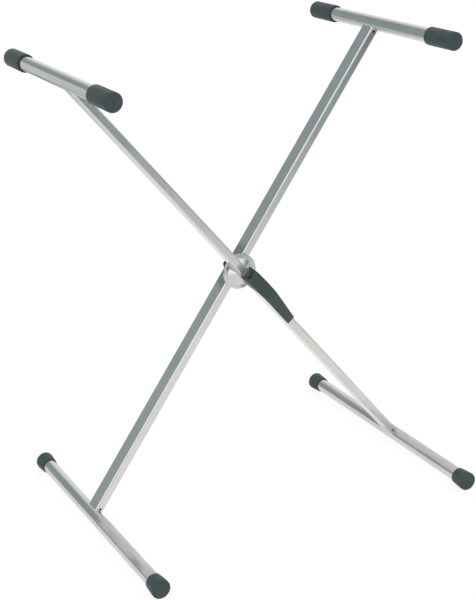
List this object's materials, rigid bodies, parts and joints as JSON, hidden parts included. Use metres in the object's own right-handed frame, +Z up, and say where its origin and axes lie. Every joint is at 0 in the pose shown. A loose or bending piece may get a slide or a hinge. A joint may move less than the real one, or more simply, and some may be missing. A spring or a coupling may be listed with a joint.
{
  "type": "keyboard stand",
  "caption": "Folding X keyboard stand of plated tube: two crossed legs with rubber-tipped arms and feet, held open by a toothed disc clutch and a cam lever.",
  "frame": {"origin": "on the floor, under the crossing of the legs, midway between the ends of the bars", "axes": "+Z up, +Y along the bars to the back, +X to the right seen from the lever's side"},
  "size_m": [0.6446, 0.5, 0.8174],
  "materials": {
    "plated_tube": "satin nickel plate on steel tube",
    "turned_steel": "turned and plated steel",
    "plain_steel": "zinc plated steel",
    "black_steel": "black oxide",
    "rubber": "matt moulded rubber",
    "black_plastic": "fine grained moulded plastic"
  },
  "bodies": {
    "front_leg": {"front_leg_tube": "plated_tube", "front_arm_tube": "plated_tube", "front_foot_tube": "plated_tube", "front_arm_sleeve_near": "rubber", "front_arm_sleeve_far": "rubber", "front_foot_cap_near": "rubber", "front_foot_cap_far": "rubber", "front_clutch_disc": "turned_steel", "front_leg_bush": "plain_steel", "thrust_saddle": "turned_steel", "release_spring": "plain_steel"},
    "clamp": {"clamp_bolt": "plain_steel", "cam_pin": "plain_steel", "bolt_washer": "black_steel", "lock_nut": "black_steel"},
    "rear_leg": {"rear_leg_tube": "plated_tube", "rear_arm_tube": "plated_tube", "rear_foot_tube": "plated_tube", "rear_arm_sleeve_near": "rubber", "rear_arm_sleeve_far": "rubber", "rear_foot_cap_near": "rubber", "rear_foot_cap_far": "rubber", "rear_clutch_disc": "turned_steel", "rear_leg_bush": "plain_steel"},
    "lever": {"cam_lever": "black_plastic"}
  },
  "joints": [
    {"name": "clamp_slide", "type": "slide", "parent": "front_leg", "child": "clamp", "axis": [0, 1, 0], "range_m": [0, 0.002]},
    {"name": "leg_fold", "type": "hinge", "parent": "clamp", "child": "rear_leg", "pos_m": [0, 0, 0.41079], "axis": [0, 1, 0], "range_deg": [-71, 34]},
    {"name": "lever_swing", "type": "hinge", "parent": "clamp", "child": "lever", "pos_m": [0, -0.0513, 0.41079], "axis": [-0.7902, 0, -0.6129], "range_deg": [0, 60]}
  ],
  "couplings": [
    {"joint": "lever_swing", "follows": "clamp_slide", "rad_per_m": 523.59}
  ]
}
